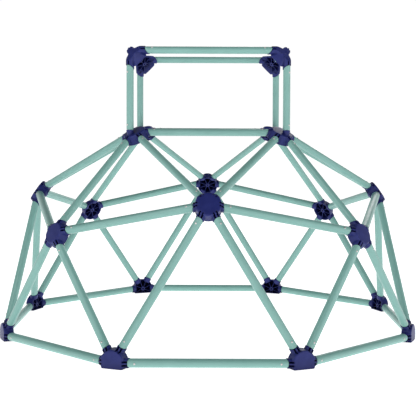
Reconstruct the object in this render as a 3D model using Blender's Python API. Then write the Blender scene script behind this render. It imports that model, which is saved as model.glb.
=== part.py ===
"""Dome climber: 56 powder-coated steel tubes fastened to 24 moulded plastic hubs.

Metres, +Z up, the front faces -Y, and the ground is z = 0. The climber has fourfold
symmetry: everything is modelled once, for the front and front right, and turned about Z.
Five rings of hubs stand above each other: base, lower belt, upper belt, crown and tower.
A tube's end slides over a spigot and butts against the hub's collar, which ends in a face
parallel to the hub's own axis. To keep the climber within 60 solids, rails, legs, belt
rails and rafters are pairs of tubes. The two tubes of a pair are held together by a thin
link, which runs through the bored spigots and the hollow of the hub that they share.
"""

import math

import bmesh
import bpy
from mathutils import Matrix, Vector

# Driving dimensions of the frame: radii from the centre line, heights above the rails' axes
BASE_RADIUS = 0.980
LEG_FOOT_RADIUS = 0.968
LOWER_BELT_RADIUS, LOWER_BELT_HEIGHT = 0.906, 0.480
UPPER_BELT_RADIUS, UPPER_BELT_HEIGHT = 0.807, 0.611
CROWN_RADIUS, CROWN_HEIGHT = 0.463, 0.894
POST_RADIUS, TOWER_HEIGHT = 0.488, 1.256
RAIL_HEIGHT = 0.024  # the rails' axes above the ground
DOME_CENTRE_HEIGHT = 0.049  # the hubs face away from this point, above the rails' axes
BASE_HALF_ANGLE = math.radians(22.5)

# Tubes
RAIL_TUBE_RADIUS = 0.018
LEG_TUBE_RADIUS = 0.017
UPPER_TUBE_RADIUS = 0.016
TUBE_WALL = 0.0012
TUBE_SIDES = 10

# Hubs: levels are along the hub's axis, from the point where its tubes' axes meet
COLLAR_REACH = 0.062  # from the hub's axis to the collar's end face
BASE_LEG_REACH = 0.066
TOWER_REACH = 0.061
COLLAR_LIP = 0.0025
POST_STUB_LIP = 0.001
POST_STUB_HEIGHT = 0.011
HUB_WALL = 0.004
EDGE_CHAMFER = 0.005
CAP_INRADIUS, CAP_LEVEL = 0.052, 0.006
RIM_INRADIUS, RIM_LEVEL = 0.052, -0.039
TOWER_CAP_INRADIUS, TOWER_CAP_LEVEL = 0.026, -0.014
TOWER_RIM_INRADIUS, TOWER_RIM_LEVEL = 0.055, -0.047
WIDEST_SIDE = math.radians(76)  # the most that two neighbouring sides of a hub turn
COLLAR_START = 0.050
TOWER_COLLAR_START = 0.006
COLLAR_SIDES = 8

# Spigots and the links that run through some of them
SPIGOT_LENGTH = 0.045
SPIGOT_CLEARANCE = 0.0006
BORE_RADIUS = 0.0055
LINK_RADIUS = 0.0028
LINK_BAR_RADIUS = 0.0036
LINK_SIDES = 4
LINK_TURN = 0.026  # where a link leaves the tube's axis, from the hub's axis
LINK_OVERLAP = 0.003
BULKHEAD_DEPTH = 0.052
BULKHEAD_THICKNESS = 0.003

GAP = 0.0003  # between pieces that touch

# Each quarter's side and corner, and which of the two a piece is named after
QUARTERS = (("front", "front_right"), ("right", "back_right"), ("back", "back_left"), ("left", "front_left"))
ON_CORNER = ("lower_legs", "rafters", "ridge", "post", "lower", "crown", "tower")
HUB_NAMES = {
    "base_left": "left_base_hub",
    "base_right": "right_base_hub",
    "upper": "upper_belt_hub",
    "lower": "lower_belt_hub",
    "crown": "crown_hub",
    "tower": "tower_hub",
}
CLEAR = 0.2  # longer than any cut needs


# ---------------------------------------------------------------- frame


def ring_point(radius, azimuth, height):
    """A point of the frame. The azimuth runs from the front towards the right."""
    return Vector(
        (radius * math.sin(azimuth), -radius * math.cos(azimuth), height + RAIL_HEIGHT)
    )


def outward(azimuth):
    return Vector((math.sin(azimuth), -math.cos(azimuth), 0))


def dome_axis(point):
    """The axis of a hub on the dome's shell."""
    return (point - Vector((0, 0, DOME_CENTRE_HEIGHT + RAIL_HEIGHT))).normalized()


class Hub:
    """Where a hub is and what it holds. An end is what one tube needs there."""

    def __init__(self, point, axis, collars=COLLAR_REACH):
        self.point = point
        self.axis = axis
        self.reach = collars
        self.ends = []


class End:
    """One end of a tube: its start on the hub's side, the way it leaves and its mouth plane."""

    def __init__(self, hub, start, towards, radius, reach=None, square=False, linked=False):
        self.hub = hub
        self.start = start
        self.way = (towards - start).normalized()
        self.radius = radius
        self.linked = linked
        along_face = self.way - self.way.dot(hub.axis) * hub.axis
        self.normal = self.way if square else along_face.normalized()
        self.reach = hub.reach if reach is None else reach
        hub.ends.append(self)

    def distance_to(self, reach, offset=Vector()):
        """How far along the tube's axis a plane at this reach is, for a point beside the axis."""
        lead = (self.start + offset - self.hub.point).dot(self.normal)
        return (reach - lead) / self.way.dot(self.normal)

    def mouth(self):
        return self.distance_to(self.reach)

    def at(self, distance):
        return self.start + distance * self.way


def frame_hubs():
    """Every hub, by kind and quarter."""
    hubs = {}
    for quarter in range(4):
        front = quarter * math.pi / 2
        corner = front + math.pi / 4
        for kind, azimuth in (("base_left", front - BASE_HALF_ANGLE), ("base_right", front + BASE_HALF_ANGLE)):
            hubs[kind, quarter] = Hub(ring_point(BASE_RADIUS, azimuth, 0), outward(azimuth))
        upper = ring_point(UPPER_BELT_RADIUS, front, UPPER_BELT_HEIGHT)
        lower = ring_point(LOWER_BELT_RADIUS, corner, LOWER_BELT_HEIGHT)
        crown = ring_point(CROWN_RADIUS, corner, CROWN_HEIGHT)
        for kind, point in (("upper", upper), ("lower", lower), ("crown", crown)):
            hubs[kind, quarter] = Hub(point, dome_axis(point))
        tower = ring_point(POST_RADIUS, corner, TOWER_HEIGHT)
        diagonal = outward(corner) * math.sqrt(2) + Vector((0, 0, 1))
        hubs["tower", quarter] = Hub(tower, diagonal.normalized(), TOWER_REACH)
    return hubs


def join(a, b, radius, linked=False):
    """The two ends of a tube whose axis runs between two hubs' points."""
    return End(a, a.point, b.point, radius, linked=linked), End(b, b.point, a.point, radius)


def leg(top, foot):
    """A leg's foot meets the rails a little inside the base ring."""
    inwards = (BASE_RADIUS - LEG_FOOT_RADIUS) * -foot.axis
    foot_point = foot.point + inwards
    return (
        End(top, top.point, foot_point, LEG_TUBE_RADIUS, linked=True),
        End(foot, foot_point, top.point, LEG_TUBE_RADIUS, BASE_LEG_REACH),
    )


def post(crown, tower):
    """The post stands on the crown hub's stub, outside the point where the rafters meet."""
    foot = Vector((tower.point.x, tower.point.y, crown.point.z))
    return (
        End(crown, foot, tower.point, UPPER_TUBE_RADIUS, POST_STUB_HEIGHT, square=True),
        End(tower, tower.point, foot, UPPER_TUBE_RADIUS),
    )


def frame_tubes(hubs, quarter):
    """One quarter's tubes, as (end, end) with the end at the pair's shared hub first."""
    after, before = (quarter + 1) % 4, (quarter - 1) % 4
    base_left, base_right = hubs["base_left", quarter], hubs["base_right", quarter]
    base_after = hubs["base_left", after]
    upper, upper_after = hubs["upper", quarter], hubs["upper", after]
    lower, lower_before = hubs["lower", quarter], hubs["lower", before]
    crown, crown_before = hubs["crown", quarter], hubs["crown", before]
    tower, tower_before = hubs["tower", quarter], hubs["tower", before]
    return {
        "base_rails": [join(base_right, end, RAIL_TUBE_RADIUS, True) for end in (base_left, base_after)],
        "upper_legs": [leg(upper, foot) for foot in (base_left, base_right)],
        "lower_legs": [leg(lower, foot) for foot in (base_right, base_after)],
        "belt_rails": [join(upper, end, RAIL_TUBE_RADIUS, True) for end in (lower_before, lower)],
        "rafters": [join(crown, end, UPPER_TUBE_RADIUS, True) for end in (upper, upper_after)],
        "ridge": [join(crown, lower, UPPER_TUBE_RADIUS)],
        "crown_rail": [join(crown_before, crown, UPPER_TUBE_RADIUS)],
        "post": [post(crown, tower)],
        "tower_bar": [join(tower_before, tower, UPPER_TUBE_RADIUS)],
    }


# ---------------------------------------------------------------- solids


def scene_object(name, mesh):
    made = bpy.data.objects.new(name, mesh)
    bpy.context.scene.collection.objects.link(made)
    return made


def solid(name, rings, loop=False):
    """A skin over rings of points. It closes on itself, or is capped at both ends."""
    work = bmesh.new()
    rows = [[work.verts.new(point) for point in ring] for ring in rings]
    pairs = list(zip(rows, rows[1:]))
    if loop:
        pairs.append((rows[-1], rows[0]))
    else:
        work.faces.new(rows[0])
        work.faces.new(rows[-1])
    for near, far in pairs:
        for i in range(len(near)):
            j = (i + 1) % len(near)
            work.faces.new((near[i], near[j], far[j], far[i]))
    bmesh.ops.recalc_face_normals(work, faces=work.faces)
    mesh = bpy.data.meshes.new(name)
    work.to_mesh(mesh)
    work.free()
    return scene_object(name, mesh)


def across(axis):
    """Two directions at right angles to an axis. The first is level where it can be."""
    level = Vector((0, 0, 1)).cross(axis)
    first = level.normalized() if level.length > GAP else Vector((1, 0, 0))
    return first, axis.cross(first)


def circle(centre, axis, radius, sides):
    first, second = across(axis)
    turn = 2 * math.pi / sides
    return [
        centre + radius * (math.cos((i + 0.5) * turn) * first + math.sin((i + 0.5) * turn) * second)
        for i in range(sides)
    ]


def combine(base, tool, operation):
    """Applies an exact Boolean to the base's mesh, and drops the tool."""
    change = base.modifiers.new(operation, "BOOLEAN")
    change.operation = operation
    change.solver = "EXACT"
    change.object = tool
    bpy.context.view_layer.update()
    shape = base.evaluated_get(bpy.context.evaluated_depsgraph_get())
    base.data = bpy.data.meshes.new_from_object(shape)
    base.modifiers.clear()
    bpy.data.objects.remove(tool)
    return base


def cut_flat(shape, point, normal):
    """Cuts away what lies on the normal's side of a plane, and closes the cut."""
    work = bmesh.new()
    work.from_mesh(shape.data)
    everything = work.verts[:] + work.edges[:] + work.faces[:]
    bmesh.ops.bisect_plane(work, geom=everything, plane_co=point, plane_no=normal, clear_outer=True)
    bmesh.ops.holes_fill(work, edges=[edge for edge in work.edges if edge.is_boundary])
    bmesh.ops.recalc_face_normals(work, faces=work.faces)
    work.to_mesh(shape.data)
    work.free()
    return shape


# ---------------------------------------------------------------- tubes


def end_ring(end, axis, radius):
    """A tube's ring of points where it is cut just clear of the mouth plane."""
    ring = circle(Vector(), axis, radius, TUBE_SIDES)
    return [end.at(end.distance_to(end.reach + GAP, offset)) + offset for offset in ring]


def plain_tube(name, near, far):
    """A hollow tube, open at both ends."""
    inner = near.radius - TUBE_WALL
    places = ((near, near.radius), (far, near.radius), (far, inner), (near, inner))
    return solid(name, [end_ring(end, near.way, radius) for end, radius in places], loop=True)


def linked_tube(name, near, far):
    """A hollow tube with a bulkhead near its first end, which carries its half of the link."""
    inner = near.radius - TUBE_WALL
    front = near.mouth() + BULKHEAD_DEPTH
    back = front + BULKHEAD_THICKNESS
    places = ((far, inner), (far, near.radius), (near, near.radius), (near, inner))
    skin = [end_ring(end, near.way, radius) for end, radius in places]
    first, last = (circle(near.at(t), near.way, inner, TUBE_SIDES) for t in (back, front))
    shell = solid(name, [first, *skin, last])
    tip = near.distance_to(LINK_TURN) - LINK_OVERLAP
    reach = (front + BULKHEAD_THICKNESS / 2, tip)
    rod = solid("rod", [circle(near.at(t), near.way, LINK_RADIUS, LINK_SIDES) for t in reach])
    return combine(shell, rod, "UNION")


def tube_pair(name, tubes):
    """Two tubes that share a hub, and the bar of their link across its hollow."""
    corners = [near.at(near.distance_to(LINK_TURN)) for near, _ in tubes]
    way = (corners[1] - corners[0]).normalized()
    reach = LINK_OVERLAP * way
    bar_ends = (corners[0] - reach, corners[1] + reach)
    shape = solid(name, [circle(p, way, LINK_BAR_RADIUS, LINK_SIDES) for p in bar_ends])
    for near, far in tubes:
        combine(shape, linked_tube("tube", near, far), "UNION")
    return shape


# ---------------------------------------------------------------- hubs


def side_angles(hub):
    """The ways a hub's sides face: one for each collar, and more where collars are far apart."""
    first, second = across(hub.axis)
    collars = [end.normal for end in hub.ends if end.normal != end.way]
    faced = sorted(math.atan2(way.dot(second), way.dot(first)) for way in collars)
    angles = []
    for angle, following in zip(faced, faced[1:] + [faced[0] + 2 * math.pi]):
        parts = math.ceil((following - angle) / WIDEST_SIDE)
        angles += [angle + (following - angle) * part / parts for part in range(parts)]
    return angles


def outline(hub, inradius, level):
    """The hub's many-sided outline at one level: its sides touch a circle of this inradius."""
    first, second = across(hub.axis)
    angles = side_angles(hub)
    corners = []
    for angle, following in zip(angles, angles[1:] + [angles[0] + 2 * math.pi]):
        middle, half = (angle + following) / 2, (following - angle) / 2
        way = math.cos(middle) * first + math.sin(middle) * second
        corners.append(hub.point + level * hub.axis + inradius / math.cos(half) * way)
    return corners


def drum(name, hub, cap, rim):
    """The hub's cap and skirt, and its hollow, which is open at the rim on the inner side."""
    (cap_inradius, cap_level), (rim_inradius, rim_level) = cap, rim
    skirt = (rim, (cap_inradius, cap_level - EDGE_CHAMFER), (cap_inradius - EDGE_CHAMFER, cap_level))
    hollow = (
        (rim_inradius - HUB_WALL, rim_level - EDGE_CHAMFER),
        (cap_inradius - HUB_WALL, cap_level - HUB_WALL - EDGE_CHAMFER),
        (cap_inradius - HUB_WALL - EDGE_CHAMFER, cap_level - HUB_WALL),
    )
    return [solid(name, [outline(hub, r, level) for r, level in rows]) for rows in (skirt, hollow)]


def stub(end, start, lip):
    """A collar from inside the skirt to its end face, and the spigot that stands on it."""
    spigot = (end.radius - TUBE_WALL) * math.cos(math.pi / TUBE_SIDES) - SPIGOT_CLEARANCE
    places = ((start, end.radius + lip), (end.reach, end.radius + lip), (end.reach, spigot))
    rings = []
    for reach, radius in places:
        ring = circle(Vector(), end.way, radius, COLLAR_SIDES)
        rings.append([end.at(end.distance_to(reach, offset)) + offset for offset in ring])
    tip = end.at(end.mouth() + SPIGOT_LENGTH)
    rings.append(circle(tip, end.way, spigot, COLLAR_SIDES))
    return solid("stub", rings)


def bore(end):
    """The way for a link, from the hollow through the wall, the collar and the spigot."""
    places = (end.distance_to(LINK_TURN), end.mouth() + CLEAR)
    return solid("bore", [circle(end.at(t), end.way, BORE_RADIUS, LINK_SIDES) for t in places])


def dome_hub(name, hub):
    """A hub of the dome. One of the base ring has a closed, flat underside to stand on."""
    shape, hollow = drum(name, hub, (CAP_INRADIUS, CAP_LEVEL), (RIM_INRADIUS, RIM_LEVEL))
    if hub.point.z < CAP_INRADIUS:
        ground = Vector((hub.point.x, hub.point.y, 0))
        down = Vector((0, 0, -1))
        cut_flat(shape, ground, down)
        cut_flat(hollow, ground + HUB_WALL * -down, down)
    combine(shape, hollow, "DIFFERENCE")
    for end in hub.ends:
        if end.normal == end.way:
            standing = stub(end, -CLEAR, POST_STUB_LIP)
            inside_cap = hub.point + (CAP_LEVEL - HUB_WALL / 2) * hub.axis
            combine(shape, cut_flat(standing, inside_cap, -hub.axis), "UNION")
        else:
            combine(shape, stub(end, COLLAR_START, COLLAR_LIP), "UNION")
    for end in hub.ends:
        if end.linked:
            combine(shape, bore(end), "DIFFERENCE")
    return shape


def tower_hub(name, hub):
    """A corner of the tower: three collars that meet under one cap, with a flared skirt."""
    cap = (TOWER_CAP_INRADIUS, TOWER_CAP_LEVEL)
    shape, hollow = drum(name, hub, cap, (TOWER_RIM_INRADIUS, TOWER_RIM_LEVEL))
    combine(shape, hollow, "DIFFERENCE")
    under_cap = hub.point + (TOWER_CAP_LEVEL - GAP) * hub.axis
    for end in hub.ends:
        collar = stub(end, TOWER_COLLAR_START, COLLAR_LIP)
        combine(shape, cut_flat(collar, under_cap, hub.axis), "UNION")
    return shape


# ---------------------------------------------------------------- assembly


def material(name, colour, roughness, metallic):
    made = bpy.data.materials.new(name)
    made.use_nodes = True
    shader = made.node_tree.nodes["Principled BSDF"]
    shader.inputs["Base Color"].default_value = (*colour, 1)
    shader.inputs["Roughness"].default_value = roughness
    shader.inputs["Metallic"].default_value = metallic
    return made


def turned_copies(shape, side, rest, finish):
    """Four objects with one mesh, a quarter turn apart. The first is the shape itself."""
    shape.data.materials.clear()
    shape.data.materials.append(finish)
    shape.data.shade_smooth()
    shape.data.set_sharp_from_angle(angle=math.radians(40))
    for quarter, places in enumerate(QUARTERS):
        copy = shape if quarter == 0 else scene_object(rest, shape.data)
        copy.name = f"{places[side]}_{rest}"
        copy.location = Matrix.Rotation(quarter * math.pi / 2, 3, "Z") @ shape.location
        copy.rotation_euler.z = quarter * math.pi / 2


def centred(shape, point):
    """Puts a shape's origin at a point of it, without moving the shape."""
    shape.data.transform(Matrix.Translation(-point))
    shape.location = point
    return shape


def main():
    for old in list(bpy.data.objects):
        bpy.data.objects.remove(old)
    paint = material("tube_paint", (0.235, 0.448, 0.402), 0.38, 0.0)
    plastic = material("hub_plastic", (0.030, 0.036, 0.140), 0.42, 0.0)
    hubs = frame_hubs()
    tubes = [frame_tubes(hubs, quarter) for quarter in range(4)][0]
    for rest, group in tubes.items():
        near = group[0][0]
        shape = tube_pair(rest, group) if len(group) > 1 else plain_tube(rest, *group[0])
        turned_copies(centred(shape, near.hub.point), ON_CORNER.count(rest), rest, paint)
    for kind, rest in HUB_NAMES.items():
        hub = hubs[kind, 0]
        build = tower_hub if kind == "tower" else dome_hub
        shape = build(rest, hub)
        turned_copies(centred(shape, hub.point), ON_CORNER.count(kind), rest, plastic)


main()
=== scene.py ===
"""The looks of the dome climber: powder-coated tubes, moulded hubs and their screws.

Metres, +Z up, the front faces -Y. The frame's driving dimensions are those of the CAD
model, and each piece stands for a CAD node. The climber has fourfold symmetry, so each
mesh is made once, for the front and front right, and its object is copied a quarter turn
at a time.
"""

import math

import bmesh
import bpy
from mathutils import Matrix, Vector


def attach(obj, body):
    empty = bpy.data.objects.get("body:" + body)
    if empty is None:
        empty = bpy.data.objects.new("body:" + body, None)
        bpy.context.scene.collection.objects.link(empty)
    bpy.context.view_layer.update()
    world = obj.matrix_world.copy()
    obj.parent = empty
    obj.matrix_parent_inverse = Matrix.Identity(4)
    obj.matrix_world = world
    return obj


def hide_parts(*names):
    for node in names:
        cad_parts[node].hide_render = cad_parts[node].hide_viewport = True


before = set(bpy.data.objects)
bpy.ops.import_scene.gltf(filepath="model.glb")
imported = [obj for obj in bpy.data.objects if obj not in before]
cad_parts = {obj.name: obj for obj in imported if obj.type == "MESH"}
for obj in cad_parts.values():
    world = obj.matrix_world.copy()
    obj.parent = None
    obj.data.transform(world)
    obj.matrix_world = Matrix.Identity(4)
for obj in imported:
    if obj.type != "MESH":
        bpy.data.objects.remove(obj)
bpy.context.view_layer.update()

# Driving dimensions of the frame: radii from the centre line, heights above the rails' axes
BASE_RADIUS = 0.980
LEG_FOOT_RADIUS = 0.968
LOWER_BELT_RADIUS, LOWER_BELT_HEIGHT = 0.906, 0.480
UPPER_BELT_RADIUS, UPPER_BELT_HEIGHT = 0.807, 0.611
CROWN_RADIUS, CROWN_HEIGHT = 0.463, 0.894
POST_RADIUS, TOWER_HEIGHT = 0.488, 1.256
RAIL_HEIGHT = 0.024
DOME_CENTRE_HEIGHT = 0.049
BASE_HALF_ANGLE = math.radians(22.5)

# Tubes
RAIL_TUBE_RADIUS = 0.018
LEG_TUBE_RADIUS = 0.017
UPPER_TUBE_RADIUS = 0.016
TUBE_WALL = 0.0012
TUBE_SIDES = 48
# How far from the mouth each ring of a tube's rounded end is, and how much it has drawn in
TUBE_END = ((0.0003, 0.0024), (0.0008, 0.0014), (0.0018, 0.0007), (0.0034, 0.0002), (0.0055, 0.0))

# Hubs: levels are along the hub's axis, from the point where its tubes' axes meet
COLLAR_REACH = 0.062
BASE_LEG_REACH = 0.066
TOWER_REACH = 0.061
COLLAR_LIP = 0.0025
COLLAR_START = 0.041
COLLAR_SIDES = 56
MOUTH_ROUNDING = 0.0012
POST_STUB_LIP, POST_STUB_HEIGHT = 0.001, 0.011
STUB_TAPER, STUB_TAPER_START = 0.004, -0.012
HUB_WALL = 0.0035
DRUM_SIDES = 96
CAP_LEVEL, CAP_CROWN = 0.0048, 0.0010
EDGE_RADIUS = 0.005
CAP_RADIUS = 0.0512
CAP_RADII = {"upper": 0.0540, "lower": 0.0460}  # the belt hubs differ from the others
CAP_LEVELS = {"upper": 0.0095, "lower": 0.0030}
RIM_RADIUS, RIM_LEVEL = 0.0545, -0.039
RIM_BEAD = 0.0016
BOSS_RADIUS, BOSS_BORE = 0.0105, 0.0045
RIB_COUNT, RIB_THICKNESS, RIB_LEVEL = 8, 0.0026, -0.033
SLOT_OFFSET, SLOT_WIDTH, SLOT_DEPTH = 0.0068, 0.0066, 0.012
SLOT_LENGTH, TOWER_SLOT_LENGTH = 0.0185, 0.015
SLOT_CLEARANCE = 0.020  # how far a slot's cutter reaches past the collar and its mouth

# Tower hubs: three collars that meet under one face, with a flared skirt between them
TOWER_FACE_LEVEL = -0.014
TOWER_COLLAR_START = 0.004
TOWER_BRACING_LEVEL = -0.042
# The skirt's (radius, level) points, to the middles of the sides of a slightly rounded hexagon
TOWER_SKIRT = (
    (0.0195, -0.0142),
    (0.0225, -0.0150),
    (0.0245, -0.0170),
    (0.0540, -0.0445),
    (0.0550, -0.0460),
)
TOWER_RIM_LEVEL = -0.0475
SKIRT_SOFTNESS = 0.1

# Screws
SCREW_DISTANCE = 0.022
SCREW_RADIUS = 0.0041
SCREW_SIDES = 24
SCREW_HEAD = ((1.0, -0.0010), (1.0, 0.0004), (0.95, 0.0010), (0.80, 0.0017), (0.58, 0.0021))
SOCKET_WIDTH, SOCKET_FLOOR = 0.0017, 0.0006

# Fine surface of the hubs
VOXEL = 0.0008
SMOOTHING_STEPS = 10
KEPT_FACES = 0.20
SHARP_EDGE = math.radians(35)
FAR = 0.2

QUARTERS = (
    ("front", "front_right"),
    ("right", "back_right"),
    ("back", "back_left"),
    ("left", "front_left"),
)
ON_CORNER = ("lower_leg", "rafter", "ridge", "post", "lower", "crown", "tower")
HUB_NAMES = {
    "base_left": "left_base_hub",
    "base_right": "right_base_hub",
    "upper": "upper_belt_hub",
    "lower": "lower_belt_hub",
    "crown": "crown_hub",
    "tower": "tower_hub",
}


# ---------------------------------------------------------------- frame


def ring_point(radius, azimuth, height):
    """A point of the frame. The azimuth runs from the front towards the right."""
    return Vector((radius * math.sin(azimuth), -radius * math.cos(azimuth), height + RAIL_HEIGHT))


def outward(azimuth):
    return Vector((math.sin(azimuth), -math.cos(azimuth), 0))


def dome_axis(point):
    """The axis of a hub on the dome's shell."""
    return (point - Vector((0, 0, DOME_CENTRE_HEIGHT + RAIL_HEIGHT))).normalized()


class Hub:
    """Where a hub is and what it holds. An end is what one tube needs there."""

    def __init__(self, point, axis, reach=COLLAR_REACH):
        self.point = point
        self.axis = axis
        self.reach = reach
        self.ends = []


class End:
    """One end of a tube: its start on the hub's side, the way it leaves and its mouth plane."""

    def __init__(self, hub, start, towards, radius, reach=None, square=False):
        self.hub = hub
        self.start = start
        self.way = (towards - start).normalized()
        self.radius = radius
        along_face = self.way - self.way.dot(hub.axis) * hub.axis
        self.normal = self.way if square else along_face.normalized()
        self.square = square
        self.reach = hub.reach if reach is None else reach
        self.out = (hub.axis - hub.axis.dot(self.way) * self.way).normalized()
        hub.ends.append(self)

    def distance_to(self, reach, offset=Vector()):
        """How far along the tube's axis a plane at this reach is, for a point beside the axis."""
        lead = (self.start + offset - self.hub.point).dot(self.normal)
        return (reach - lead) / self.way.dot(self.normal)

    def at(self, distance):
        return self.start + distance * self.way

    def ring(self, reach, radius, sides, way=None):
        """A ring round the tube's axis, cut by the plane at this reach. It turns about the way given."""
        offsets = circle(Vector(), way or self.way, radius, sides)
        return [self.at(self.distance_to(reach, offset)) + offset for offset in offsets]


def frame_hubs():
    """Every hub, by kind and quarter."""
    hubs = {}
    for quarter in range(4):
        front = quarter * math.pi / 2
        corner = front + math.pi / 4
        for kind, turn in (("base_left", -BASE_HALF_ANGLE), ("base_right", BASE_HALF_ANGLE)):
            azimuth = front + turn
            hubs[kind, quarter] = Hub(ring_point(BASE_RADIUS, azimuth, 0), outward(azimuth))
        upper = ring_point(UPPER_BELT_RADIUS, front, UPPER_BELT_HEIGHT)
        lower = ring_point(LOWER_BELT_RADIUS, corner, LOWER_BELT_HEIGHT)
        crown = ring_point(CROWN_RADIUS, corner, CROWN_HEIGHT)
        for kind, point in (("upper", upper), ("lower", lower), ("crown", crown)):
            hubs[kind, quarter] = Hub(point, dome_axis(point))
        tower = ring_point(POST_RADIUS, corner, TOWER_HEIGHT)
        diagonal = outward(corner) * math.sqrt(2) + Vector((0, 0, 1))
        hubs["tower", quarter] = Hub(tower, diagonal.normalized(), TOWER_REACH)
    return hubs


def join(a, b, radius):
    """The two ends of a tube whose axis runs between two hubs' points."""
    return End(a, a.point, b.point, radius), End(b, b.point, a.point, radius)


def leg(top, foot):
    """A leg's foot meets the rails a little inside the base ring."""
    foot_point = foot.point - (BASE_RADIUS - LEG_FOOT_RADIUS) * foot.axis
    return (
        End(top, top.point, foot_point, LEG_TUBE_RADIUS),
        End(foot, foot_point, top.point, LEG_TUBE_RADIUS, BASE_LEG_REACH),
    )


def post(crown, tower):
    """The post stands on the crown hub's stub, outside the point where the rafters meet."""
    foot = Vector((tower.point.x, tower.point.y, crown.point.z))
    return (
        End(crown, foot, tower.point, UPPER_TUBE_RADIUS, POST_STUB_HEIGHT, square=True),
        End(tower, tower.point, foot, UPPER_TUBE_RADIUS),
    )


def frame_tubes(hubs, quarter):
    """One quarter's tubes: kind, the CAD node's ending, and the tubes as (end, end)."""
    after, before = (quarter + 1) % 4, (quarter - 1) % 4
    base_left, base_right = hubs["base_left", quarter], hubs["base_right", quarter]
    base_after = hubs["base_left", after]
    upper, upper_after = hubs["upper", quarter], hubs["upper", after]
    lower, lower_before = hubs["lower", quarter], hubs["lower", before]
    crown, crown_before = hubs["crown", quarter], hubs["crown", before]
    tower, tower_before = hubs["tower", quarter], hubs["tower", before]
    base_rails = [join(base_right, end, RAIL_TUBE_RADIUS) for end in (base_left, base_after)]
    belt_rails = [join(upper, end, RAIL_TUBE_RADIUS) for end in (lower_before, lower)]
    return (
        ("base_rail", "base_rails", base_rails),
        ("upper_leg", "upper_legs", [leg(upper, foot) for foot in (base_left, base_right)]),
        ("lower_leg", "lower_legs", [leg(lower, foot) for foot in (base_right, base_after)]),
        ("belt_rail", "belt_rails", belt_rails),
        ("rafter", "rafters", [join(crown, end, UPPER_TUBE_RADIUS) for end in (upper, upper_after)]),
        ("ridge", "ridge", [join(crown, lower, UPPER_TUBE_RADIUS)]),
        ("crown_rail", "crown_rail", [join(crown_before, crown, UPPER_TUBE_RADIUS)]),
        ("post", "post", [post(crown, tower)]),
        ("tower_bar", "tower_bar", [join(tower_before, tower, UPPER_TUBE_RADIUS)]),
    )


# ---------------------------------------------------------------- meshes


def across(axis):
    """Two directions at right angles to an axis. The first is level where it can be."""
    level = Vector((0, 0, 1)).cross(axis)
    first = level.normalized() if level.length > 1e-4 else Vector((1, 0, 0))
    return first, axis.cross(first)


def circle(centre, axis, radius, sides):
    first, second = across(axis)
    turns = [2 * math.pi * (i + 0.5) / sides for i in range(sides)]
    return [centre + radius * (math.cos(turn) * first + math.sin(turn) * second) for turn in turns]


def hexagon(centre, axis, radius, sides, softness=0.0):
    """A ring of points on a hexagon, which softness turns towards the circle inside it."""
    first, second = across(axis)
    points = []
    for i in range(sides):
        turn = 2 * math.pi * (i + 0.5) / sides
        off_middle = turn % (math.pi / 3) - math.pi / 6
        size = radius * (softness + (1 - softness) / math.cos(off_middle))
        points.append(centre + size * (math.cos(turn) * first + math.sin(turn) * second))
    return points


def soft_hexagon(centre, axis, radius, sides):
    return hexagon(centre, axis, radius, sides, SKIRT_SOFTNESS)


def skin(rings, loop=False):
    """A mesh over rings of points, where one point is a pole. It closes on itself, or is capped."""
    work = bmesh.new()
    rows = [[work.verts.new(point) for point in ring] for ring in rings]
    pairs = list(zip(rows, rows[1:]))
    if loop:
        pairs.append((rows[-1], rows[0]))
    for row in (rows[0], rows[-1]):
        if not loop and len(row) > 1:
            work.faces.new(row)
    for near, far in pairs:
        for i in range(max(len(near), len(far))):
            low = [near[j % len(near)] for j in (i, i + 1)]
            high = [far[j % len(far)] for j in (i + 1, i)]
            work.faces.new(dict.fromkeys(low + high))
    bmesh.ops.recalc_face_normals(work, faces=work.faces)
    mesh = bpy.data.meshes.new("skin")
    work.to_mesh(mesh)
    work.free()
    return mesh


def turned(profile, centre, axis, sides, shape=circle):
    """A solid turned about an axis from (radius, level) points."""
    rings = []
    for radius, level in profile:
        place = centre + level * axis
        rings.append(shape(place, axis, radius, sides) if radius > 0 else [place])
    return skin(rings)


def block(centre, ways, halves):
    """A box with its own three directions, given as half sizes along them."""
    a, b, c = (way * half for way, half in zip(ways, halves))
    ends = (centre - c, centre + c)
    return skin([[end - a - b, end + a - b, end + a + b, end - a + b] for end in ends])


def joined(meshes):
    """One mesh that holds several."""
    work = bmesh.new()
    for mesh in meshes:
        work.from_mesh(mesh)
    whole = bpy.data.meshes.new("joined")
    work.to_mesh(whole)
    work.free()
    return whole


def evaluated(mesh, settings):
    """The mesh after modifiers, given as (type, {setting: value})."""
    holder = bpy.data.objects.new("holder", mesh)
    bpy.context.scene.collection.objects.link(holder)
    for kind, values in settings:
        modifier = holder.modifiers.new(kind, kind)
        for key, value in values.items():
            setattr(modifier, key, value)
    bpy.context.view_layer.update()
    shape = holder.evaluated_get(bpy.context.evaluated_depsgraph_get())
    result = bpy.data.meshes.new_from_object(shape)
    bpy.data.objects.remove(holder)
    return result


def carved(mesh, other, operation):
    """The mesh after an exact Boolean with another."""
    tool = bpy.data.objects.new("tool", other)
    bpy.context.scene.collection.objects.link(tool)
    settings = {"operation": operation, "solver": "EXACT", "use_hole_tolerant": True, "object": tool}
    result = evaluated(mesh, [("BOOLEAN", settings)])
    bpy.data.objects.remove(tool)
    return result


def without(mesh, cutter):
    return carved(mesh, cutter, "DIFFERENCE")


def cut_flat(mesh, point, normal):
    """Cuts away what lies on the normal's side of a plane, and closes the cut."""
    work = bmesh.new()
    work.from_mesh(mesh)
    everything = work.verts[:] + work.edges[:] + work.faces[:]
    bmesh.ops.bisect_plane(work, geom=everything, plane_co=point, plane_no=normal, clear_outer=True)
    bmesh.ops.holes_fill(work, edges=[edge for edge in work.edges if edge.is_boundary])
    bmesh.ops.recalc_face_normals(work, faces=work.faces)
    work.to_mesh(mesh)
    work.free()
    return mesh


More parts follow.
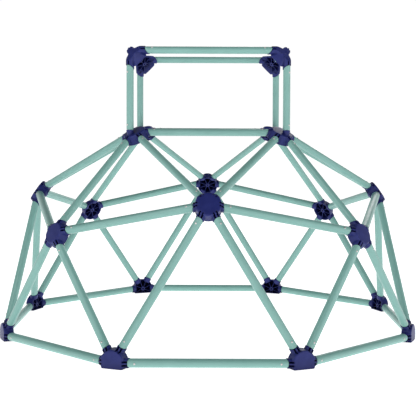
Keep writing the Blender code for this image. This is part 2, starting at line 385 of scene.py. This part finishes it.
def moulded(meshes):
    """Overlapping solids melted into one skin with the soft edges of a moulding."""
    return evaluated(
        joined(meshes),
        [
            ("REMESH", {"mode": "VOXEL", "voxel_size": VOXEL}),
            ("SMOOTH", {"factor": 0.5, "iterations": SMOOTHING_STEPS}),
            ("DECIMATE", {"ratio": KEPT_FACES}),
        ],
    )


# ---------------------------------------------------------------- tubes


def tube_mesh(near, far):
    """A hollow tube whose ends are cut along the collars' mouths and drawn in a little."""

    def ring(end, gap, radius):
        return end.ring(end.reach + gap, radius, TUBE_SIDES, near.way)

    rings = [ring(near, gap, near.radius - draw) for gap, draw in TUBE_END]
    rings += [ring(far, gap, far.radius - draw) for gap, draw in reversed(TUBE_END)]
    gap, draw = TUBE_END[0]
    rings += [ring(end, gap, near.radius - draw - TUBE_WALL) for end in (far, near)]
    return skin(rings, loop=True)


# ---------------------------------------------------------------- hubs


def slots(end, length):
    """The cutter for a collar's two slots, which run in from its mouth, square to the hub's face."""
    hub = end.hub
    side = end.way.cross(end.out)
    mouth = end.at(end.distance_to(end.reach)) + (end.radius + COLLAR_LIP) * end.out
    low = (mouth - hub.point).dot(hub.axis) - SLOT_DEPTH
    high = low + SLOT_DEPTH + SLOT_CLEARANCE
    near, far = end.reach - length, end.reach + SLOT_CLEARANCE
    centre = hub.point + (near + far) / 2 * end.normal + (low + high) / 2 * hub.axis
    halves = (SLOT_WIDTH / 2, (high - low) / 2, (far - near) / 2)
    places = [centre + offset * side for offset in (-SLOT_OFFSET, SLOT_OFFSET)]
    return joined([block(place, (side, hub.axis, end.normal), halves) for place in places])


def collar(end, start):
    """A collar with a rounded mouth; its two slots are cut from it by the caller."""
    radius = end.radius + COLLAR_LIP
    places = (
        (start, radius),
        (end.reach - MOUTH_ROUNDING, radius),
        (end.reach - MOUTH_ROUNDING / 4, radius - MOUTH_ROUNDING / 3),
        (end.reach, radius - MOUTH_ROUNDING),
    )
    return skin([end.ring(reach, r, COLLAR_SIDES) for reach, r in places])


def rounded_edge(radius, level, rounding, steps=6):
    """The (radius, level) points of a quarter round, from a face's level to a wall's radius."""
    turns = [math.pi / 2 * (1 - i / steps) for i in range(steps + 1)]
    return [
        (radius - rounding * (1 - math.cos(turn)), level - rounding * (1 - math.sin(turn)))
        for turn in turns
    ]


def drum(hub, cap, level):
    """The outer form and the hollow of a dome hub, with a cap of this radius at this level."""
    outer = [(0, level + CAP_CROWN), (cap / 2, level + 0.7 * CAP_CROWN)]
    outer += rounded_edge(cap, level, EDGE_RADIUS)
    outer += [(RIM_RADIUS - RIM_BEAD, RIM_LEVEL + 4 * RIM_BEAD), (RIM_RADIUS, RIM_LEVEL + 2 * RIM_BEAD)]
    outer += [(RIM_RADIUS, RIM_LEVEL), (0, RIM_LEVEL)]
    inner = [(0, level - HUB_WALL)]
    inner += rounded_edge(cap - HUB_WALL, level - HUB_WALL, EDGE_RADIUS)
    inner += [(RIM_RADIUS - HUB_WALL, RIM_LEVEL - HUB_WALL), (0, RIM_LEVEL - HUB_WALL)]
    return [turned(profile, hub.point, hub.axis, DRUM_SIDES) for profile in (outer, inner)]


def bracing(hub, face, low, reach, floor=None):
    """The boss and the ribs inside a hub, from under its face down to a level and out to a radius."""
    high = face - HUB_WALL / 2
    profile = ((0, face - HUB_WALL), (BOSS_BORE, face - HUB_WALL), (BOSS_BORE, low), (BOSS_RADIUS, low))
    profile += ((BOSS_RADIUS, high), (0, high))
    pieces = [turned(profile, hub.point, hub.axis, DRUM_SIDES // 2)]
    first, second = across(hub.axis)
    inside = (BOSS_BORE + BOSS_RADIUS) / 2
    for i in range(RIB_COUNT):
        turn = 2 * math.pi * (i + 0.5) / RIB_COUNT
        way = math.cos(turn) * first + math.sin(turn) * second
        centre = hub.point + (inside + reach) / 2 * way + (low + high) / 2 * hub.axis
        halves = (RIB_THICKNESS / 2, (reach - inside) / 2, (high - low) / 2)
        pieces.append(block(centre, (way.cross(hub.axis), way, hub.axis), halves))
    return [cut_flat(piece, *floor) for piece in pieces] if floor else pieces


def post_stub(end):
    """The short round stub on a crown hub, which the post stands on."""
    hub = end.hub
    radius = end.radius + POST_STUB_LIP
    places = (
        (-FAR, radius - STUB_TAPER),
        (STUB_TAPER_START, radius - STUB_TAPER),
        (end.reach - 3 * MOUTH_ROUNDING, radius),
        (end.reach - MOUTH_ROUNDING, radius),
        (end.reach, radius - MOUTH_ROUNDING),
    )
    stub = skin([end.ring(reach, r, COLLAR_SIDES) for reach, r in places])
    return cut_flat(stub, hub.point + (CAP_LEVEL - HUB_WALL / 2) * hub.axis, -hub.axis)


def dome_hub(kind, hub):
    """A hub of the dome. One of the base ring has a closed, flat underside to stand on."""
    cap, level = CAP_RADII.get(kind, CAP_RADIUS), CAP_LEVELS.get(kind, CAP_LEVEL)
    outer, inner = drum(hub, cap, level)
    floor = None
    if hub.point.z < CAP_RADIUS:
        ground = Vector((hub.point.x, hub.point.y, 0))
        down = Vector((0, 0, -1))
        cut_flat(outer, ground, down)
        floor = (ground - HUB_WALL / 2 * down, down)
        cut_flat(inner, ground - HUB_WALL * down, down)
    collars = [end for end in hub.ends if not end.square]
    for end in collars:
        outer = without(outer, slots(end, SLOT_LENGTH))
    pieces = [without(outer, inner), *bracing(hub, level, RIB_LEVEL, cap - HUB_WALL / 2, floor)]
    pieces += [without(collar(end, COLLAR_START), slots(end, SLOT_LENGTH)) for end in collars]
    pieces += [post_stub(end) for end in hub.ends if end.square]
    mesh = moulded(pieces)
    if floor:  # the remesh blurs where the underside is, so the hub is put back on the ground
        lowest = min(vertex.co.z for vertex in mesh.vertices)
        mesh.transform(Matrix.Translation((0, 0, -lowest)))
    return mesh


def tower_hub(hub):
    """A corner of the tower: three collars that meet under one face, with a flared skirt."""
    rim_radius, top = TOWER_SKIRT[-1][0], TOWER_SKIRT[0][1]
    profile = [(0, top), *TOWER_SKIRT, (rim_radius, TOWER_RIM_LEVEL), (0, TOWER_RIM_LEVEL)]
    shrunk = [(max(radius - HUB_WALL, 0), level - HUB_WALL) for radius, level in profile]
    outer = turned(profile, hub.point, hub.axis, DRUM_SIDES, soft_hexagon)
    inner = turned(shrunk, hub.point, hub.axis, DRUM_SIDES, soft_hexagon)
    ribs = bracing(hub, top, TOWER_BRACING_LEVEL, rim_radius)
    pieces = [without(outer, inner), *[carved(rib, outer, "INTERSECT") for rib in ribs]]
    face = hub.point + TOWER_FACE_LEVEL * hub.axis
    for end in hub.ends:
        whole = cut_flat(collar(end, TOWER_COLLAR_START), face, hub.axis)
        pieces.append(without(without(whole, inner), slots(end, TOWER_SLOT_LENGTH)))
    return moulded(pieces)


# ---------------------------------------------------------------- screws


def screw_mesh(end):
    """A button-head screw with a hexagonal socket, on the outward side of a tube's end."""
    place = end.at(end.distance_to(end.reach) + SCREW_DISTANCE) + end.radius * end.out
    rings = []
    for part, level in SCREW_HEAD:
        rings.append(circle(place + level * end.out, end.out, SCREW_RADIUS * part, SCREW_SIDES))
    for level in (SCREW_HEAD[-1][1], SOCKET_FLOOR):
        rings.append(hexagon(place + level * end.out, end.out, SOCKET_WIDTH, SCREW_SIDES))
    rings.append([place + SOCKET_FLOOR * end.out])
    return skin(rings)


# ---------------------------------------------------------------- materials


# The two tones that each finish drifts between, and the near-black navy painted as shade deep in the
# plastic's hollows
PAINT_TONES = (0.195, 0.400, 0.361), (0.222, 0.437, 0.398)
PLASTIC_TONES = (0.012, 0.018, 0.128), (0.020, 0.028, 0.165)
# Painted shade: the colour the plastic is darkened to in hollows, not its own colour
PAINTED_HOLLOW_SHADE = (0.001, 0.001, 0.022)
STEEL_TONES = (0.60, 0.57, 0.57), (0.74, 0.71, 0.70)
# How far into a hollow the painted shade reaches
PAINTED_SHADE_REACH = 0.05
# Where a noise's middle range starts and ends
NOISE_RANGE = 0.3, 0.7


class Finish:
    """A material with a Principled shader, and short ways to add nodes to it."""

    def __init__(self, name, roughness, metallic=0.0):
        self.material = bpy.data.materials.new(name)
        self.material.use_nodes = True
        self.tree = self.material.node_tree
        self.shader = self.tree.nodes["Principled BSDF"]
        self.shader.inputs["Roughness"].default_value = roughness
        self.shader.inputs["Metallic"].default_value = metallic
        self.place = self.tree.nodes.new("ShaderNodeTexCoord").outputs["Object"]

    def noise(self, scale, detail=2.0):
        node = self.tree.nodes.new("ShaderNodeTexNoise")
        node.inputs["Scale"].default_value = scale
        node.inputs["Detail"].default_value = detail
        self.tree.links.new(self.place, node.inputs["Vector"])
        return node.outputs["Fac"]

    def ramp(self, value, tones):
        """Two tones over a noise's middle range."""
        node = self.tree.nodes.new("ShaderNodeValToRGB")
        self.tree.links.new(value, node.inputs["Fac"])
        for stop, position, colour in zip(node.color_ramp.elements, NOISE_RANGE, tones):
            stop.position = position
            stop.color = (*colour, 1)
        return node.outputs["Color"]

    def spread(self, value, low, high):
        """A value's middle range stretched to run from low to high."""
        node = self.tree.nodes.new("ShaderNodeMapRange")
        node.inputs["From Min"].default_value, node.inputs["From Max"].default_value = NOISE_RANGE
        node.inputs["To Min"].default_value = low
        node.inputs["To Max"].default_value = high
        self.tree.links.new(value, node.inputs["Value"])
        return node.outputs["Result"]

    def openness_for_painted_shade(self, reach):
        """1 on open faces, and less in hollows and corners within this reach: the mask of painted shade.
        """
        node = self.tree.nodes.new("ShaderNodeAmbientOcclusion")
        node.inputs["Distance"].default_value = reach
        return node.outputs["AO"]

    def mixed(self, share, dark, colour):
        """The colour where the share is 1, and the dark one where it is 0."""
        node = self.tree.nodes.new("ShaderNodeMixRGB")
        node.inputs["Color1"].default_value = (*dark, 1)
        self.tree.links.new(share, node.inputs["Fac"])
        self.tree.links.new(colour, node.inputs["Color2"])
        return node.outputs["Color"]

    def bump(self, heights):
        """Stacks bumps, each given as (height, strength, distance)."""
        normal = None
        for height, strength, distance in heights:
            node = self.tree.nodes.new("ShaderNodeBump")
            node.inputs["Strength"].default_value = strength
            node.inputs["Distance"].default_value = distance
            self.tree.links.new(height, node.inputs["Height"])
            if normal:
                self.tree.links.new(normal, node.inputs["Normal"])
            normal = node.outputs["Normal"]
        self.link(normal, "Normal")

    def link(self, output, socket):
        self.tree.links.new(output, self.shader.inputs[socket])


def powder_coat():
    """Semi-gloss teal powder coat: a faint orange peel, and a slow drift of tone and gloss."""
    finish = Finish("powder_coat", 0.36)
    finish.link(finish.ramp(finish.noise(7, 3), PAINT_TONES), "Base Color")
    finish.link(finish.spread(finish.noise(60, 3), 0.30, 0.42), "Roughness")
    finish.bump(((finish.noise(420, 2), 0.10, 0.0006), (finish.noise(1600, 1), 0.06, 0.0003)))
    finish.shader.inputs["Coat Weight"].default_value = 0.15
    finish.shader.inputs["Coat Roughness"].default_value = 0.22
    return finish.material


def moulded_plastic():
    """Dark navy moulded plastic with a fine spark-eroded grain, and painted shade in its hollows and
    corners.
    """
    finish = Finish("moulded_plastic", 0.42)
    # Painted shade: by ambient occlusion, the base colour runs to near-black navy and the specular level
    # drops in hollows and corners
    openness_for_painted_shade = finish.openness_for_painted_shade(PAINTED_SHADE_REACH)
    tone = finish.ramp(finish.noise(28, 3), PLASTIC_TONES)
    finish.link(finish.mixed(openness_for_painted_shade, PAINTED_HOLLOW_SHADE, tone), "Base Color")
    finish.link(finish.spread(openness_for_painted_shade, 0.04, 0.26), "Specular IOR Level")
    finish.link(finish.spread(finish.noise(140, 3), 0.34, 0.48), "Roughness")
    finish.bump(((finish.noise(1900, 2), 0.16, 0.0003), (finish.noise(90, 2), 0.05, 0.0010)))
    return finish.material


def plated_steel():
    """Bright zinc plating with a slightly cloudy gloss."""
    finish = Finish("plated_steel", 0.28, 1.0)
    finish.link(finish.ramp(finish.noise(500, 2), STEEL_TONES), "Base Color")
    finish.link(finish.spread(finish.noise(900, 2), 0.20, 0.38), "Roughness")
    finish.bump(((finish.noise(2600, 1), 0.08, 0.0002),))
    return finish.material


# ---------------------------------------------------------------- assembly


def smooth(mesh, point, material):
    """Shades a mesh and moves its origin to a point of it."""
    mesh.transform(Matrix.Translation(-point))
    mesh.materials.clear()
    mesh.materials.append(material)
    mesh.shade_smooth()
    mesh.set_sharp_from_angle(angle=SHARP_EDGE)
    return mesh


def place_copies(mesh, point, kind, name, node):
    """Four objects with one mesh, a quarter turn apart, each standing for its CAD node."""
    for quarter, places in enumerate(QUARTERS):
        side = places[ON_CORNER.count(kind)]
        piece = bpy.data.objects.new(f"{side}_{name}", mesh)
        bpy.context.scene.collection.objects.link(piece)
        piece.location = Matrix.Rotation(quarter * math.pi / 2, 3, "Z") @ point
        piece.rotation_euler.z = quarter * math.pi / 2
        bpy.context.view_layer.update()
        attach(piece, "root")
        if node:
            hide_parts(f"{side}_{node}")


def make_tubes(tubes, paint):
    for kind, node, group in tubes:
        names = [f"{kind}_left", f"{kind}_right"] if len(group) > 1 else [f"{kind}_tube"]
        for name, (near, far) in zip(names, group):
            mesh = smooth(tube_mesh(near, far), near.start, paint)
            place_copies(mesh, near.start, kind, name, node)


def make_hubs(hubs, plastic, steel):
    for kind, node in HUB_NAMES.items():
        hub = hubs[kind, 0]
        shape = tower_hub(hub) if kind == "tower" else dome_hub(kind, hub)
        moulding = smooth(shape, hub.point, plastic)
        place_copies(moulding, hub.point, kind, f"{node}_moulding", node)
        screws = smooth(joined([screw_mesh(end) for end in hub.ends]), hub.point, steel)
        place_copies(screws, hub.point, kind, f"{node}_screws", None)


# ---------------------------------------------------------------- stage

FLOOR_HALF_WIDTH, FLOOR_HALF_THICKNESS, FLOOR_GAP = 40, 0.05, 0.001
FLOOR_GREY, FLOOR_GLOW = 0.80, 0.95
HORIZON_LIGHT, CEILING_LIGHT = 1.02, 0.06
CEILING_START, CEILING_END = 0.16, 0.60
CAMERA_PLACE = (-0.0125, -4.822, 0.9575)
CAMERA_LENS = 87.7
CAMERA_SHIFT = -0.103
CAMERA_TILT, CAMERA_YAW, CAMERA_ROLL = math.radians(2.35), math.radians(-0.15), math.radians(0.18)
# Each light's name, place and power
LIGHTS = (
    ("key", (-2.6, -4.2, 4.0), 70),
    ("fill", (3.8, -3.0, 2.0), 30),
    ("back", (1.5, 4.5, 3.6), 60),
)
LIGHT_WIDTH, LIT_HEIGHT = 3.0, 0.6


def make_camera():
    camera = bpy.data.objects.new("camera", bpy.data.cameras.new("camera"))
    bpy.context.scene.collection.objects.link(camera)
    camera.data.lens = CAMERA_LENS
    camera.data.sensor_width = 36
    camera.data.shift_y = CAMERA_SHIFT
    turn = Matrix.Rotation(CAMERA_YAW, 4, "Z") @ Matrix.Rotation(math.pi / 2 - CAMERA_TILT, 4, "X")
    camera.matrix_world = Matrix.Translation(CAMERA_PLACE) @ turn @ Matrix.Rotation(CAMERA_ROLL, 4, "Z")
    bpy.context.scene.camera = camera


def area_light(name, place, power):
    """A square soft light that faces the middle of the climber."""
    light = bpy.data.objects.new(name, bpy.data.lights.new(name, "AREA"))
    bpy.context.scene.collection.objects.link(light)
    light.data.size = LIGHT_WIDTH
    light.data.energy = power
    light.location = place
    way = Vector((0, 0, LIT_HEIGHT)) - Vector(place)
    light.rotation_euler = way.to_track_quat("-Z", "Y").to_euler()


def make_world():
    """A white surrounding, which darkens overhead like a studio's ceiling."""
    world = bpy.data.worlds.new("studio")
    world.use_nodes = True
    tree = world.node_tree
    way = tree.nodes.new("ShaderNodeTexCoord").outputs["Generated"]
    split = tree.nodes.new("ShaderNodeSeparateXYZ")
    fade = tree.nodes.new("ShaderNodeMapRange")
    fade.inputs["From Min"].default_value = CEILING_START
    fade.inputs["From Max"].default_value = CEILING_END
    fade.inputs["To Min"].default_value = HORIZON_LIGHT
    fade.inputs["To Max"].default_value = CEILING_LIGHT
    tree.links.new(way, split.inputs["Vector"])
    tree.links.new(split.outputs["Z"], fade.inputs["Value"])
    tree.links.new(fade.outputs["Result"], tree.nodes["Background"].inputs["Strength"])
    tree.nodes["Background"].inputs["Color"].default_value = (1, 1, 1, 1)
    bpy.context.scene.world = world


def make_stage():
    """A plain pale floor that glows a little, as a light table does, and soft studio lights."""
    centre = Vector((0, 0, -FLOOR_HALF_THICKNESS - FLOOR_GAP))
    halves = (FLOOR_HALF_WIDTH, FLOOR_HALF_WIDTH, FLOOR_HALF_THICKNESS)
    floor = bpy.data.objects.new("floor", block(centre, Matrix.Identity(3).col, halves))
    bpy.context.scene.collection.objects.link(floor)
    finish = Finish("floor_paint", 0.75)
    finish.shader.inputs["Base Color"].default_value = (FLOOR_GREY, FLOOR_GREY, FLOOR_GREY, 1)
    finish.shader.inputs["Emission Color"].default_value = (1, 1, 1, 1)
    finish.shader.inputs["Emission Strength"].default_value = FLOOR_GLOW
    floor.data.materials.append(finish.material)
    bpy.context.scene.view_settings.view_transform = "Standard"
    for name, place, power in LIGHTS:
        area_light(name, place, power)


make_camera()
all_hubs = frame_hubs()
# Every quarter's tubes are laid out, so that the first quarter's hubs get all their ends
all_tubes = [frame_tubes(all_hubs, quarter) for quarter in range(4)]
make_tubes(all_tubes[0], powder_coat())
make_hubs(all_hubs, moulded_plastic(), plated_steel())
make_world()
make_stage()
